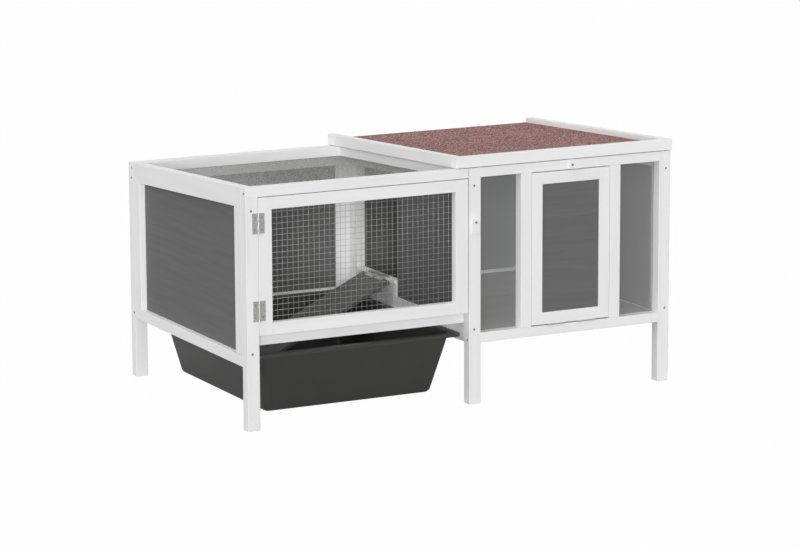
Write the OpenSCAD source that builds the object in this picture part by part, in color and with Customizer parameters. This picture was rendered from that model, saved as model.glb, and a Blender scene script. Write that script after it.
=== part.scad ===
// Rabbit hutch with run: a raised timber hutch with a felted roof, joined to a mesh-topped
// run that stands over a slide-in tub. Millimetres, +Z up, the front faces -Y.
// All pieces are drawn with x = 0 at the outer face of the left legs and y = 0 at the front
// faces of the front legs, and place() then brings the centre of the base to the origin.

/* [Overall] */
// Depth over the legs
hutch_d = 660; // [620:2:760]
// Height of the frame at the front
front_h = 553; // [520:1:620]
// Height of the frame at the back, lower so that rain runs off
rear_h = 518; // [490:1:552]
// Width of the run, up to the outer faces of the middle legs
run_w = 562; // [520:1:640]

/* [Timber] */
// Width of a leg, seen from the front
leg_w = 30; // [24:1:40]
// Depth of a leg, seen from the side
leg_t = 26; // [22:1:34]
// Thickness of the side and back frames
side_t = 15; // [12:0.5:20]
// Width of the stiles of the side and back frames
side_stile_w = 36; // [24:1:50]
// Height of the rails of the run's top frame
top_rail_h = 23; // [18:1:30]
// Width of the rails of the run's top frame
top_rail_w = 24; // [20:1:30]
// Height of the upper rails of the side, back and divider frames
side_rail_h = 46; // [36:1:60]
// Width of the run's top back rail, which lies flat on the rear frame
back_top_w = 46; // [36:1:56]
// Height of the run's lower back rail
back_rail_h = 28; // [18:1:34]
// Height of the lower rails of the side and back frames
base_rail_h = 25; // [18:1:32]
// Height of the lower rails above the ground
base_z = 144; // [130:1:160]
// Thickness of the grey infill panels
panel_t = 4; // [3:0.5:6]
// How far a side panel laps behind its frame
panel_lap = 5; // [3:0.5:8]
// How far a panel that is let into its frame lies behind the frame's face
panel_recess = 3; // [1:0.5:8]
// Gap between the run's top frame and the middle legs
module_gap = 1.5; // [0.5:0.1:4]

/* [Run door] */
// Thickness of the run door's frame
door_t = 19; // [15:0.5:22]
// Width of the run door's stiles
door_stile_w = 33; // [25:1:45]
// Height of the run door's rails
door_rail_h = 28; // [20:1:40]
// Height of the run door's lower edge above the ground
door_z = 216; // [205:1:235]
// Gap between the run door and the leg that carries it
door_hinge_gap = 0.6; // [0.4:0.1:2]
// Gap between the run door and the leg at its free edge
door_gap = 2.5; // [1:0.1:3]
// Height of the lower front rail of the run
front_rail_h = 40; // [25:1:50]
// Height of that rail's lower edge above the ground
front_rail_z = 189; // [180:1:200]

/* [Wire net] */
// Thickness of the wire
wire_t = 1.2; // [0.8:0.1:2]
// Spacing of the wires of the door's net
door_pitch = 25.4; // [22:0.2:50]
// Spacing of the wires of the top net
top_pitch = 38.1; // [34:0.1:60]
// How far a net laps behind its frame
net_lap = 8; // [4:0.5:12]

/* [Divider and doorway] */
// Thickness of the frame between the run and the hutch
divider_t = 23; // [18:0.5:26]
// Height of the divider's lower rail
divider_rail_h = 44; // [36:1:60]
// Front edge of the doorway, from the front of the legs
doorway_y = 365; // [340:1:400]
// Width of the doorway
doorway_w = 210; // [180:1:230]
// Height of the board on which the sill lies
sill_board_h = 32; // [20:1:40]
// Thickness of that board
sill_board_t = 15; // [12:0.5:18]
// Thickness of the sill cap
sill_cap_t = 9; // [6:0.5:12]
// How far the sill cap stands out over the run
sill_nose = 5; // [2:0.5:8]
// Gap between the sill cap and the ramp's hinge pin
ramp_pin_gap = 1.5; // [1:0.1:3]

/* [Ramp] */
// Length of the ramp below its hinge
ramp_len = 455; // [420:1:480]
// Width of the ramp
ramp_w = 138; // [110:1:160]
// Thickness of the ramp
ramp_t = 9; // [6:0.5:12]
// Distance from the doorway's front edge to the ramp
ramp_inset = 18; // [1:0.5:30]

/* [Tub] */
// Height of the tub's rim above the ground
tub_rim_z = 168; // [160:1:178]
// Height of the tub's underside above the ground
tub_base_z = 20; // [12:1:40]
// Wall of the tub
tub_wall = 3; // [2:0.5:4]
// Width of the tub's rim
tub_flange_w = 17; // [12:1:24]
// Height of the lip that hangs from the rim
tub_lip_h = 8; // [5:0.5:10]
// How much each side wall leans in on its way down
tub_taper_x = 28; // [8:1:40]
// How much the front and back walls lean in
tub_taper_y = 47; // [8:1:54]
// Radius of the corners of the tub's walls
tub_corner_r = 18; // [14:1:30]
// Radius of the rim's corners
tub_rim_r = 10; // [5:1:24]
// Radius round the tub's base
tub_base_r = 11; // [8:1:14]
// Gap between the rim and the left legs
tub_gap_left = 3; // [2:0.5:14]
// Gap between the rim and the middle legs
tub_gap_right = 13; // [3:0.5:14]
// Set-back of the rim from the front of the legs
tub_front_y = 14; // [4:1:30]
// Space behind the rim, up to the back of the legs
tub_rear_gap = 46; // [30:1:60]
// Height of the battens that the rim slides on
runner_h = 10; // [8:1:16]
// Gap between those battens and the tub's walls
runner_gap = 4; // [2:0.5:6]
// Distance of those battens from the front of the legs
runner_y0 = 60; // [30:1:120]

/* [Hutch front] */
// Width of each window's opening
window_w = 106; // [80:0.1:140]
// Width of the window stiles
window_stile_w = 28; // [20:1:40]
// Height of the hutch's lower front rail
hutch_rail_h = 23; // [18:1:30]
// Height of the hutch's upper front rail
hutch_top_h = 23; // [18:1:30]
// Thickness of the clear panes
pane_t = 2; // [1.5:0.5:4]
// How far a pane laps behind its frame
pane_lap = 10; // [5:1:14]

/* [Flap door] */
// Width of the flap
flap_w = 208; // [170:1:240]
// Thickness of the flap's frame
flap_t = 18; // [14:0.5:22]
// Width of the flap's stiles and rails
flap_frame_w = 28; // [20:1:36]
// Gap round the flap
flap_gap = 1; // [0.8:0.1:3]
// Gap under the flap, where its hinge leaves lie
flap_hinge_gap = 2.6; // [2.6:0.1:4]

/* [Floor] */
// Thickness of the hutch's floor
floor_t = 6; // [4:0.5:12]
// How far the floor's top lies below the rails' tops
floor_drop = 8; // [4:0.5:12]
// Thickness of the battens under the floor
batten_t = 15; // [10:1:20]

/* [Roof] */
// How far the roof stands out over the run
roof_over_left = 34; // [20:1:50]
// How far the roof stands out at the right
roof_over_right = 3; // [0:0.5:20]
// How far the roof stands out at the front
roof_over_front = 3; // [0:0.5:20]
// Height of the trim round the roof
trim_h = 26; // [22:1:36]
// Thickness of that trim
trim_t = 19; // [12:1:26]
// Thickness of the roof board
roof_board_t = 13.5; // [9:0.5:15]
// Thickness of the felt
felt_t = 2; // [1:0.5:4]
// Gap under the roof board
roof_gap = 0.3; // [0.2:0.1:1]
// Lift of the trim over the frame, seen as a dark line
trim_gap = 1.5; // [1:0.1:3]

/* [Hardware] */
// Length of a hinge
hinge_len = 46; // [30:1:60]
// Width of one leaf, from the pin
leaf_w = 15; // [12:0.5:20]
// Thickness of a leaf
leaf_t = 1.2; // [0.8:0.1:1.3]
// Radius of the hinge knuckles
knuckle_r = 2.6; // [2.2:0.1:3.5]
// Radius of the hinge pins
pin_r = 1.3; // [1:0.1:1.6]
// Radius of the screw holes in a leaf
leaf_hole_r = 1.8; // [1:0.1:2.2]
// Height of the run door's lower hinge above the door's edge
door_hinge_in = 34; // [10:1:60]
// Height of the run door's upper hinge below the door's top
door_hinge_top = 34; // [10:1:60]
// Distance of the flap's hinges from its middle
flap_hinge_x = 40; // [30:1:70]
// Radius of the flap hinges' knuckles
flap_knuckle_r = 1.7; // [1.5:0.1:1.7]
// Radius of the flap hinges' pins
flap_pin_r = 0.8; // [0.6:0.1:0.9]
// How far those pins stand out from the front
flap_pin_out = 1.3; // [1.3:0.1:3]
// Length of the ramp's hinges
ramp_hinge_len = 38; // [25:1:44]
// Distance of the ramp's hinges from its middle
ramp_hinge_y = 24; // [23:1:50]
// Inset of the roof's hinges from the hutch's ends
roof_hinge_x = 90; // [50:5:150]
// Length of a turn button
button_l = 34; // [28:1:44]
// Width of a turn button
button_w = 20; // [12:1:22]
// Thickness of a turn button
button_t = 5; // [3:0.5:8]
// Radius of a button's corners
button_r = 2.5; // [1:0.1:4]
// Distance of a button's screw from its end
button_end = 8.5; // [7:0.5:12]
// Radius of a button's screw
button_screw_r = 2; // [1.5:0.1:2.5]
// Height of the door button's screw above the ground
door_button_z = 427; // [300:1:480]
// Radius of a screw head
head_r = 2.8; // [2.4:0.1:4]
// Height of a screw head
head_h = 0.9; // [0.5:0.1:2]

/* [Hidden] */

white = [0.87, 0.87, 0.86];
grey = [0.36, 0.36, 0.36];
steel = [0.68, 0.68, 0.68];
wire = [0.75, 0.75, 0.73];
dark = [0.22, 0.22, 0.21];
felt = [0.6, 0.42, 0.42];
clear = [0.8, 0.85, 0.85, 0.35];

// The gap that keeps two moving pieces from rubbing
touch_gap = 0.3;
// Radial clearance of a running fit
run_fit = 0.06;
// Clearance round a screw in its leaf
screw_gap = 0.3;
// A small overlap that makes two cuts of one piece meet
eps = 0.05;

back_y = hutch_d - side_t;
rear_leg_y = hutch_d - leg_t;
run_back_y = hutch_d - back_top_w + touch_gap;
mid_right_x = run_w + leg_w;
flap_x0 = mid_right_x + window_w + window_stile_w + flap_gap;
flap_x1 = flap_x0 + flap_w;
right_x = flap_x1 + flap_gap + window_stile_w + window_w;
hutch_w = right_x + leg_w;
rail_right_x = run_w - module_gap;
rail_left_x = rail_right_x - top_rail_w;
lined_x = side_t + panel_t;

function top_z(y) = front_h - (front_h - rear_h) * y / hutch_d;
roof_angle = atan((front_h - rear_h) / hutch_d);

base_top = base_z + base_rail_h;
divider_top = base_z + divider_rail_h;
sill_z = divider_top + sill_board_h + sill_cap_t;

door_x0 = leg_w + door_hinge_gap;
door_x1 = run_w - door_gap;
door_z1 = top_z(door_t) - top_rail_h - door_hinge_gap;

flap_z0 = base_z + hutch_rail_h + flap_hinge_gap;
flap_z1 = top_z(flap_t) - hutch_top_h - flap_gap;
stile_x0 = flap_x0 - flap_gap - window_stile_w;
stile_x1 = flap_x1 + flap_gap;

pin_out = knuckle_r + 0.2;
door_pin = [(leg_w + door_x0) / 2, -pin_out];
flap_pin_z = base_z + hutch_rail_h + flap_hinge_gap / 2;
roof_pin = [hutch_d + pin_out, top_z(hutch_d) + roof_gap];

button_y0 = -touch_gap - button_t;
flap_button_z = top_z(0) - hutch_top_h + button_w / 2 + 2 * touch_gap;

tub_x0 = leg_w + tub_gap_left;
tub_x1 = run_w - tub_gap_right;
tub_y0 = tub_front_y;
tub_y1 = hutch_d - tub_rear_gap;
tub_floor_z = tub_base_z + tub_wall;
runner_z1 = tub_rim_z - tub_lip_h - touch_gap;

ramp_pin = [run_w - sill_nose - ramp_pin_gap, sill_z + pin_out];
ramp_y0 = doorway_y + ramp_inset;
ramp_drop = ramp_pin[1] - tub_floor_z - touch_gap - 0.1;
ramp_depth = pin_out + ramp_t;
ramp_angle = asin(ramp_drop / norm([ramp_len, ramp_depth])) - atan(ramp_depth / ramp_len);

roof_x0 = run_w - roof_over_left;
roof_x1 = hutch_w + roof_over_right;
front_y = min(-roof_over_front, button_y0 - touch_gap - head_h);
rear_y = roof_pin[0] + knuckle_r;
centre = [(roof_x1 - head_h) / 2, (front_y + rear_y) / 2];

// Moves a piece from the drawing's corner to the row's origin
module place() {
  translate([-centre[0], -centre[1], 0]) children();
}

// A box between two corners
module block(low, high) {
  translate(low) cube(high - low);
}

// A profile in the Y-Z plane, drawn out along X
module along_x(x0, x1, points) {
  translate([x0, 0, 0]) rotate([90, 0, 90]) linear_extrude(x1 - x0) polygon(points);
}

// A board whose top and bottom follow the sloping top of the frame
module sloped(x0, x1, y0, y1, top_in, bottom_in) {
  along_x(x0, x1, [
    [y0, top_z(y0) - bottom_in], [y1, top_z(y1) - bottom_in],
    [y1, top_z(y1) - top_in], [y0, top_z(y0) - top_in]
  ]);
}

// An upright that stands on a level and ends under the sloping top
module upright(x0, x1, y0, y1, z0, top_in) {
  along_x(x0, x1, [
    [y0, z0], [y1, z0], [y1, top_z(y1) - top_in], [y0, top_z(y0) - top_in]
  ]);
}

// A rounded rectangle with true arcs
module round_rect(size, r) {
  translate([r, 0]) square([size[0] - 2 * r, size[1]]);
  translate([0, r]) square([size[0], size[1] - 2 * r]);
  for (x = [r, size[0] - r], y = [r, size[1] - r])
    translate([x, y]) circle(r = r, $fn = 48);
}

// A flat net of crossing wires, as a sheet with square gaps between its edge wires
module net(w, h, pitch) {
  nx = floor(w / pitch);
  ny = floor(h / pitch);
  step = [(w - wire_t) / nx, (h - wire_t) / ny];
  linear_extrude(wire_t) difference() {
    square([w, h]);
    for (i = [0 : nx - 1], j = [0 : ny - 1])
      translate([wire_t + i * step[0], wire_t + j * step[1]]) square(step - [wire_t, wire_t]);
  }
}

// One half of a butt hinge, pin along Z and centred on it: the leaf lies at +X, with its
// face on the plane y = pin_out; odd picks which of the five knuckles it holds.
module hinge_half(len, odd, leaf = leaf_w) {
  seg = len / 5;
  difference() {
    union() {
      for (i = [0 : 4])
        if (i % 2 == odd)
          translate([0, 0, -len / 2 + i * seg + touch_gap / 2])
            cylinder(r = knuckle_r, h = seg - touch_gap, $fn = 32);
      difference() {
        translate([0, pin_out - leaf_t, -len / 2]) cube([leaf, leaf_t, len]);
        for (i = [0 : 4])
          if (i % 2 != odd)
            translate([-eps, 0, -len / 2 + i * seg - touch_gap / 2])
              cube([knuckle_r + touch_gap + eps, knuckle_r * 2, seg + touch_gap]);
        for (z = [-len * 0.3, len * 0.3])
          translate([leaf * 0.62, 0, z]) rotate([-90, 0, 0])
            cylinder(r = leaf_hole_r, h = knuckle_r * 2, $fn = 24);
      }
    }
    if (odd == 1)
      translate([0, 0, -len / 2 - eps])
        cylinder(r = pin_r + run_fit, h = len + 2 * eps, $fn = 32);
  }
  for (z = [-len * 0.3, len * 0.3])
    translate([leaf * 0.62, pin_out, z]) rotate([90, 0, 0])
      cylinder(r = leaf_hole_r - screw_gap, h = leaf_t + screw_gap, $fn = 24);
  if (odd == 0)
    translate([0, 0, -len / 2 + touch_gap / 2])
      cylinder(r = pin_r, h = len - touch_gap, $fn = 32);
}

module leg(x, y, top_in = 0) {
  color(white) place() upright(x, x + leg_w, y, y + leg_t, 0, top_in);
}

module leg_front_left() { leg(0, 0, top_rail_h); }
module leg_rear_left() { leg(0, rear_leg_y, top_rail_h); }
module leg_front_middle() { leg(run_w, 0); }
module leg_rear_middle() { leg(run_w, rear_leg_y); }
module leg_front_right() { leg(right_x, 0); }
module leg_rear_right() { leg(right_x, rear_leg_y); }

// Run, left side
module left_side_rails() {
  color(white) place() {
    sloped(0, top_rail_w, leg_t, rear_leg_y, 0, side_rail_h);
    block([0, leg_t, base_z], [side_t, rear_leg_y, base_top]);
  }
}

module side_stiles(x0) {
  for (y = [leg_t, rear_leg_y - side_stile_w])
    upright(x0, x0 + side_t, y, y + side_stile_w, base_top, side_rail_h);
}

// The panel is fixed to the inner faces of its frame
module side_panel(x0, top_in) {
  upright(x0, x0 + panel_t, leg_t + side_stile_w - panel_lap,
    rear_leg_y - side_stile_w + panel_lap, base_top - panel_lap, top_in);
}

module left_side_stiles() { color(white) place() side_stiles(0); }
module left_side_panel() { color(grey) place() side_panel(side_t, side_rail_h); }

// Run, top frame and net
module run_top_front_rail() {
  color(white) place() sloped(0, rail_left_x, 0, leg_t, 0, top_rail_h);
}

// A flat board, notched where the left side's upper rail meets it
module run_top_back_rail() {
  color(white) place() {
    sloped(0, rail_left_x, rear_leg_y, hutch_d, 0, top_rail_h);
    sloped(top_rail_w, rail_left_x, hutch_d - back_top_w, rear_leg_y + eps, 0, top_rail_h);
  }
}

module run_top_right_rail() {
  color(white) place() sloped(rail_left_x, rail_right_x, 0, hutch_d, 0, top_rail_h);
}

module run_top_net() {
  w = rail_left_x + net_lap - top_rail_w;
  run = (rear_leg_y - leg_t) / cos(roof_angle);
  color(wire) place()
    translate([top_rail_w, 0, top_z(0) - top_rail_h]) rotate([-roof_angle, 0, 0])
      translate([0, leg_t / cos(roof_angle), -wire_t]) net(w, run, top_pitch);
}

module run_front_bottom_rail() {
  color(white) place()
    block([lined_x, leg_t, front_rail_z], [run_w, leg_t + side_t, front_rail_z + front_rail_h]);
}

// Run, back: the frame stands against the inner faces of the rear legs, below the net
module run_back_bottom_rail() {
  color(white) place()
    block([side_t, run_back_y, base_z], [run_w, rear_leg_y, base_z + back_rail_h]);
}

module run_back_upper_rail() {
  color(white) place()
    sloped(top_rail_w, run_w, run_back_y, rear_leg_y,
      top_rail_h + wire_t + touch_gap, side_rail_h);
}

module run_back_stiles() {
  color(white) place()
    for (x = [side_t, run_w - side_stile_w])
      upright(x, x + side_stile_w, run_back_y, rear_leg_y, base_z + back_rail_h, side_rail_h);
}

module run_back_panel() {
  y0 = run_back_y + panel_recess;
  color(grey) place()
    upright(side_t + side_stile_w, run_w - side_stile_w, y0, y0 + panel_t,
      base_z + back_rail_h, side_rail_h);
}

// Divider between the run and the hutch
module divider_bottom_rail() {
  color(white) place()
    block([run_w, leg_t, base_z], [run_w + divider_t, rear_leg_y, divider_top]);
}

module divider_top_rail() {
  color(white) place()
    sloped(run_w, run_w + divider_t, leg_t, rear_leg_y, 0, side_rail_h);
}

module divider_jamb() {
  color(white) place()
    upright(run_w, run_w + divider_t, doorway_y + doorway_w, rear_leg_y,
      divider_top, side_rail_h);
}

module divider_panel() {
  x0 = run_w + panel_recess;
  color(grey) place()
    upright(x0, x0 + panel_t, leg_t, doorway_y, divider_top, side_rail_h);
}

module sill_board() {
  color(white) place()
    block([run_w, doorway_y, divider_top],
      [run_w + sill_board_t, doorway_y + doorway_w, divider_top + sill_board_h]);
}

module sill_cap() {
  color(white) place()
    block([run_w - sill_nose, doorway_y, sill_z - sill_cap_t],
      [run_w + sill_board_t, doorway_y + doorway_w, sill_z]);
}

// Tub, drawn at its own place under the run
module tub_body(inset, z0, z1) {
  x0 = tub_x0 + tub_flange_w + inset;
  x1 = tub_x1 - tub_flange_w - inset;
  y0 = tub_y0 + tub_flange_w + inset;
  y1 = tub_y1 - tub_flange_w - inset;
  r = tub_corner_r - inset;
  b = tub_base_r - inset / 2;
  hull() {
    for (x = [x0 + r, x1 - r], y = [y0 + r, y1 - r])
      translate([x, y, z1 - 0.5]) cylinder(r = r, h = 0.5, $fn = 32);
    for (x = [x0 + tub_taper_x + b, x1 - tub_taper_x - b],
         y = [y0 + tub_taper_y + b, y1 - tub_taper_y - b])
      translate([x, y, z0 + b]) sphere(r = b, $fn = 32);
  }
}

// A band inside the rim's outline, with its own inner corners
module tub_ring(wide, inner_r, z0, z1) {
  size = [tub_x1 - tub_x0, tub_y1 - tub_y0];
  translate([tub_x0, tub_y0, z0]) linear_extrude(z1 - z0) difference() {
    round_rect(size, tub_rim_r);
    translate([wide, wide]) round_rect(size - 2 * [wide, wide], inner_r);
  }
}

module tub() {
  color(dark) place() {
    difference() {
      tub_body(0, tub_base_z, tub_rim_z - eps);
      tub_body(tub_wall, tub_floor_z, tub_rim_z + 1);
    }
    tub_ring(tub_flange_w + tub_wall / 2, tub_corner_r - tub_wall / 2,
      tub_rim_z - tub_wall, tub_rim_z);
    tub_ring(tub_wall, tub_rim_r - tub_wall, tub_rim_z - tub_lip_h,
      tub_rim_z - tub_wall + eps);
  }
}

module tub_runners() {
  color(white) place() {
    block([side_t, runner_y0, runner_z1 - runner_h],
      [tub_x0 + tub_flange_w - runner_gap, run_back_y, runner_z1]);
    block([tub_x1 - tub_flange_w + runner_gap, runner_y0, runner_z1 - runner_h],
      [run_w, run_back_y, runner_z1]);
  }
}

// Ramp: drawn level, pin at the origin and the board towards -X, then let down to rest
module ramp_rest() {
  place() translate([ramp_pin[0], ramp_y0 + ramp_w / 2, ramp_pin[1]])
    rotate([0, -ramp_angle, 0]) children();
}

module ramp_board() {
  color(grey) ramp_rest()
    block([-ramp_len, -ramp_w / 2, -ramp_depth], [-pin_out * 2 - 0.5, ramp_w / 2, -pin_out]);
}

module ramp_hinge_base() {
  color(steel) place()
    for (s = [-1, 1])
      translate([ramp_pin[0], ramp_y0 + ramp_w / 2 + s * ramp_hinge_y, ramp_pin[1]])
        rotate([-90, 0, 0]) hinge_half(ramp_hinge_len, 0);
}

module ramp_hinge_leaves() {
  color(steel) ramp_rest()
    for (s = [-1, 1])
      translate([0, s * ramp_hinge_y, 0]) mirror([1, 0, 0]) rotate([-90, 0, 0])
        hinge_half(ramp_hinge_len, 1);
}

// Run door
module door_stiles() {
  color(white) place()
    for (x = [door_x0, door_x1 - door_stile_w])
      block([x, 0, door_z], [x + door_stile_w, door_t, door_z1]);
}

module door_rails() {
  color(white) place()
    for (z = [door_z, door_z1 - door_rail_h])
      block([door_x0 + door_stile_w, 0, z], [door_x1 - door_stile_w, door_t, z + door_rail_h]);
}

module door_net() {
  w = door_x1 - door_x0 - 2 * (door_stile_w - net_lap);
  h = door_z1 - door_z - 2 * (door_rail_h - net_lap);
  color(wire) place()
    translate([door_x0 + door_stile_w - net_lap, door_t + wire_t,
      door_z + door_rail_h - net_lap])
      rotate([90, 0, 0]) net(w, h, door_pitch);
}

module door_hinges(odd) {
  for (z = [door_z + door_hinge_in + hinge_len / 2,
            door_z1 - door_hinge_top - hinge_len / 2])
    translate([door_pin[0], door_pin[1], z])
      mirror([1 - odd, 0, 0]) hinge_half(hinge_len, odd);
}

module door_hinge_base() { color(steel) place() door_hinges(0); }
module door_hinge_leaves() { color(steel) place() door_hinges(1); }

// A turn button in its own plane: the screw at the origin, the tip towards -Y
module button_plate() {
  difference() {
    translate([-button_w / 2, button_end - button_l])
      linear_extrude(button_t) round_rect([button_w, button_l], button_r);
    translate([0, 0, -eps])
      cylinder(r = button_screw_r + run_fit, h = button_t + 2 * eps, $fn = 32);
  }
}

module button_screw() {
  cylinder(r = button_screw_r, h = button_t + 2 * touch_gap, $fn = 32);
  translate([0, 0, button_t + 2 * touch_gap]) cylinder(r = head_r, h = head_h, $fn = 32);
}

module door_button_at() {
  place() translate([run_w + leg_w / 2, 0, door_button_z]) rotate([90, 0, 0]) children();
}

module flap_button_at() {
  place() translate([(flap_x0 + flap_x1) / 2, 0, flap_button_z])
    rotate([90, 0, 0]) children();
}

module door_button() {
  color(white) door_button_at() translate([0, 0, touch_gap]) button_plate();
}

module flap_button() {
  color(white) flap_button_at() translate([0, 0, touch_gap]) rotate([0, 0, 90]) button_plate();
}

module button_screws() {
  color(steel) door_button_at() button_screw();
  color(steel) flap_button_at() button_screw();
}

// Hutch front
module hutch_top_rail() {
  color(white) place() sloped(mid_right_x, right_x, 0, leg_t, 0, hutch_top_h);
}

module hutch_bottom_rail() {
  color(white) place()
    block([mid_right_x, 0, base_z], [right_x, leg_t, base_z + hutch_rail_h]);
}

module window_stiles() {
  color(white) place()
    for (x = [stile_x0, stile_x1])
      upright(x, x + window_stile_w, 0, leg_t, base_z + hutch_rail_h, hutch_top_h);
}

module pane(x0, x1) {
  color(clear) place()
    block([x0, leg_t, base_z + hutch_rail_h - pane_lap * 0.7],
      [x1, leg_t + pane_t, top_z(leg_t) - hutch_top_h + pane_lap]);
}

module window_panes() {
  pane(mid_right_x - pane_lap * 0.6, stile_x0 + pane_lap);
  pane(stile_x1 + window_stile_w - pane_lap, right_x + pane_lap * 0.6);
}

// Flap door
module flap_stiles() {
  color(white) place()
    for (x = [flap_x0, flap_x1 - flap_frame_w])
      block([x, 0, flap_z0], [x + flap_frame_w, flap_t, flap_z1]);
}

module flap_rails() {
  color(white) place()
    for (z = [flap_z0, flap_z1 - flap_frame_w])
      block([flap_x0 + flap_frame_w, 0, z],
        [flap_x1 - flap_frame_w, flap_t, z + flap_frame_w]);
}

module flap_panel() {
  color(grey) place()
    block([flap_x0 + flap_frame_w, panel_recess, flap_z0 + flap_frame_w],
      [flap_x1 - flap_frame_w, panel_recess + panel_t, flap_z1 - flap_frame_w]);
}

module flap_hinges(odd) {
  for (s = [-1, 1])
    translate([(flap_x0 + flap_x1) / 2 + s * flap_hinge_x, -flap_pin_out, flap_pin_z])
      flap_hinge(odd);
}

// A butt hinge let into the gap under the flap: both leaves lie flat, one on each side
module flap_hinge(odd) {
  seg = hinge_len / 5;
  leaf_z = odd == 1 ? flap_hinge_gap / 2 - leaf_t : -flap_hinge_gap / 2;
  difference() {
    union() {
      for (i = [0 : 4])
        if (i % 2 == odd)
          translate([-hinge_len / 2 + i * seg + touch_gap / 2, 0, 0]) rotate([0, 90, 0])
            cylinder(r = flap_knuckle_r, h = seg - touch_gap, $fn = 32);
      difference() {
        translate([-hinge_len / 2, 0, leaf_z]) cube([hinge_len, leaf_w, leaf_t]);
        for (i = [0 : 4])
          if (i % 2 != odd)
            translate([-hinge_len / 2 + i * seg - touch_gap / 2, -eps, -flap_knuckle_r])
              cube([seg + touch_gap, flap_knuckle_r + touch_gap + eps, 2 * flap_knuckle_r]);
      }
    }
    if (odd == 1)
      translate([-hinge_len / 2 - eps, 0, 0]) rotate([0, 90, 0])
        cylinder(r = flap_pin_r + run_fit, h = hinge_len + 2 * eps, $fn = 32);
  }
  if (odd == 0)
    translate([-hinge_len / 2 + touch_gap / 2, 0, 0]) rotate([0, 90, 0])
      cylinder(r = flap_pin_r, h = hinge_len - touch_gap, $fn = 32);
}

module flap_hinge_base() { color(steel) place() flap_hinges(0); }
module flap_hinge_leaves() { color(steel) place() flap_hinges(1); }

// Hutch back, right side and floor
module hutch_back_rails() {
  color(white) place() {
    sloped(mid_right_x, right_x, back_y, hutch_d, 0, side_rail_h);
    block([mid_right_x, back_y, base_z], [right_x, hutch_d, base_top]);
  }
}

module hutch_back_panel() {
  color(grey) place()
    upright(mid_right_x, right_x, back_y + panel_recess, back_y + panel_recess + panel_t,
      base_top, side_rail_h);
}

module right_side_rails() {
  color(white) place() {
    sloped(hutch_w - side_t, hutch_w, leg_t, rear_leg_y, 0, side_rail_h);
    block([hutch_w - side_t, leg_t, base_z], [hutch_w, rear_leg_y, base_top]);
  }
}

module right_side_stiles() { color(white) place() side_stiles(hutch_w - side_t); }

module right_side_panel() {
  color(grey) place() side_panel(hutch_w - lined_x, side_rail_h - panel_lap);
}

module hutch_floor() {
  z1 = base_z + base_rail_h - floor_drop;
  color([0.6, 0.6, 0.6]) place() difference() {
    block([run_w + divider_t, leg_t + pane_t, z1 - floor_t], [hutch_w - side_t, back_y, z1]);
    for (x = [run_w, right_x])
      block([x - eps, rear_leg_y, z1 - floor_t - 1], [x + leg_w + eps, hutch_d, z1 + 1]);
  }
}

module floor_battens() {
  z1 = base_z + base_rail_h - floor_drop - floor_t;
  color(white) place()
    for (y = [leg_t, back_y - batten_t])
      block([mid_right_x, y, base_z], [right_x, y + batten_t, z1]);
}

// Roof: drawn level with its front lower edge at the frame's front, then tipped back
module roof_rest() {
  place() translate([0, 0, top_z(0)]) rotate([-roof_angle, 0, 0]) children();
}

// The board ends where its hinge leaves lie flat against it
roof_len = roof_pin[0] * cos(roof_angle) - (roof_pin[1] - front_h) * sin(roof_angle) - pin_out;

module roof_board() {
  color(felt) roof_rest()
    block([roof_x0 + trim_t, trim_t - roof_over_front, roof_gap],
      [roof_x1 - trim_t, roof_len, roof_gap + roof_board_t]);
}

module roof_felt() {
  z0 = roof_gap + roof_board_t;
  color(felt) roof_rest()
    block([roof_x0 + trim_t, trim_t - roof_over_front, z0],
      [roof_x1 - trim_t, roof_len, z0 + felt_t]);
}

module roof_trim_front() {
  color(white) roof_rest()
    block([roof_x0, -roof_over_front, trim_gap],
      [roof_x1, trim_t - roof_over_front, trim_gap + trim_h]);
}

module roof_trim_sides() {
  color(white) roof_rest()
    for (x = [roof_x0, roof_x1 - trim_t])
      block([x, trim_t - roof_over_front, trim_gap],
        [x + trim_t, roof_len, trim_gap + trim_h]);
}

// Butt hinges on the back faces of the frame and of the roof board
module roof_hinges(odd) {
  for (x = [mid_right_x + roof_hinge_x, right_x - roof_hinge_x])
    translate([x, roof_pin[0], roof_pin[1]]) rotate([-roof_angle * odd, 0, 0])
      rotate([0, 90, 0]) rotate([0, 0, 180]) mirror([1 - odd, 0, 0])
        hinge_half(hinge_len, odd, leaf = roof_board_t);
}

module roof_hinge_base() { color(steel) place() roof_hinges(0); }
module roof_hinge_leaves() { color(steel) place() roof_hinges(1); }

// Screw heads on the frame
module screw_front(x, z) {
  translate([x, 0, z]) rotate([90, 0, 0]) cylinder(r = head_r, h = head_h, $fn = 24);
}

module screw_left(x, y, z) {
  translate([x, y, z]) rotate([0, -90, 0]) cylinder(r = head_r, h = head_h, $fn = 24);
}

module frame_screws() {
  upper = top_z(0) - top_rail_h;
  lower = base_top + side_t / 2;
  color(steel) place() {
    for (x = [leg_w * 0.42, run_w + leg_w * 0.42, right_x + leg_w * 0.6]) {
      screw_front(x, upper - top_rail_h * (x < run_w ? 1.3 : 0.8));
      screw_front(x, lower);
    }
    screw_left(0, leg_t * 0.34, top_z(0) - top_rail_h * 0.6);
    screw_left(0, hutch_d - leg_t * 0.8, top_z(hutch_d) - top_rail_h * 0.47);
    screw_left(0, hutch_d - leg_t * 0.7, top_z(hutch_d) - top_rail_h * 1.53);
    screw_left(0, hutch_d - leg_t * 0.75, base_z + base_rail_h / 2);
    screw_left(run_w, leg_t * 0.34, base_z + base_rail_h * 0.3);
  }
}

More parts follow.
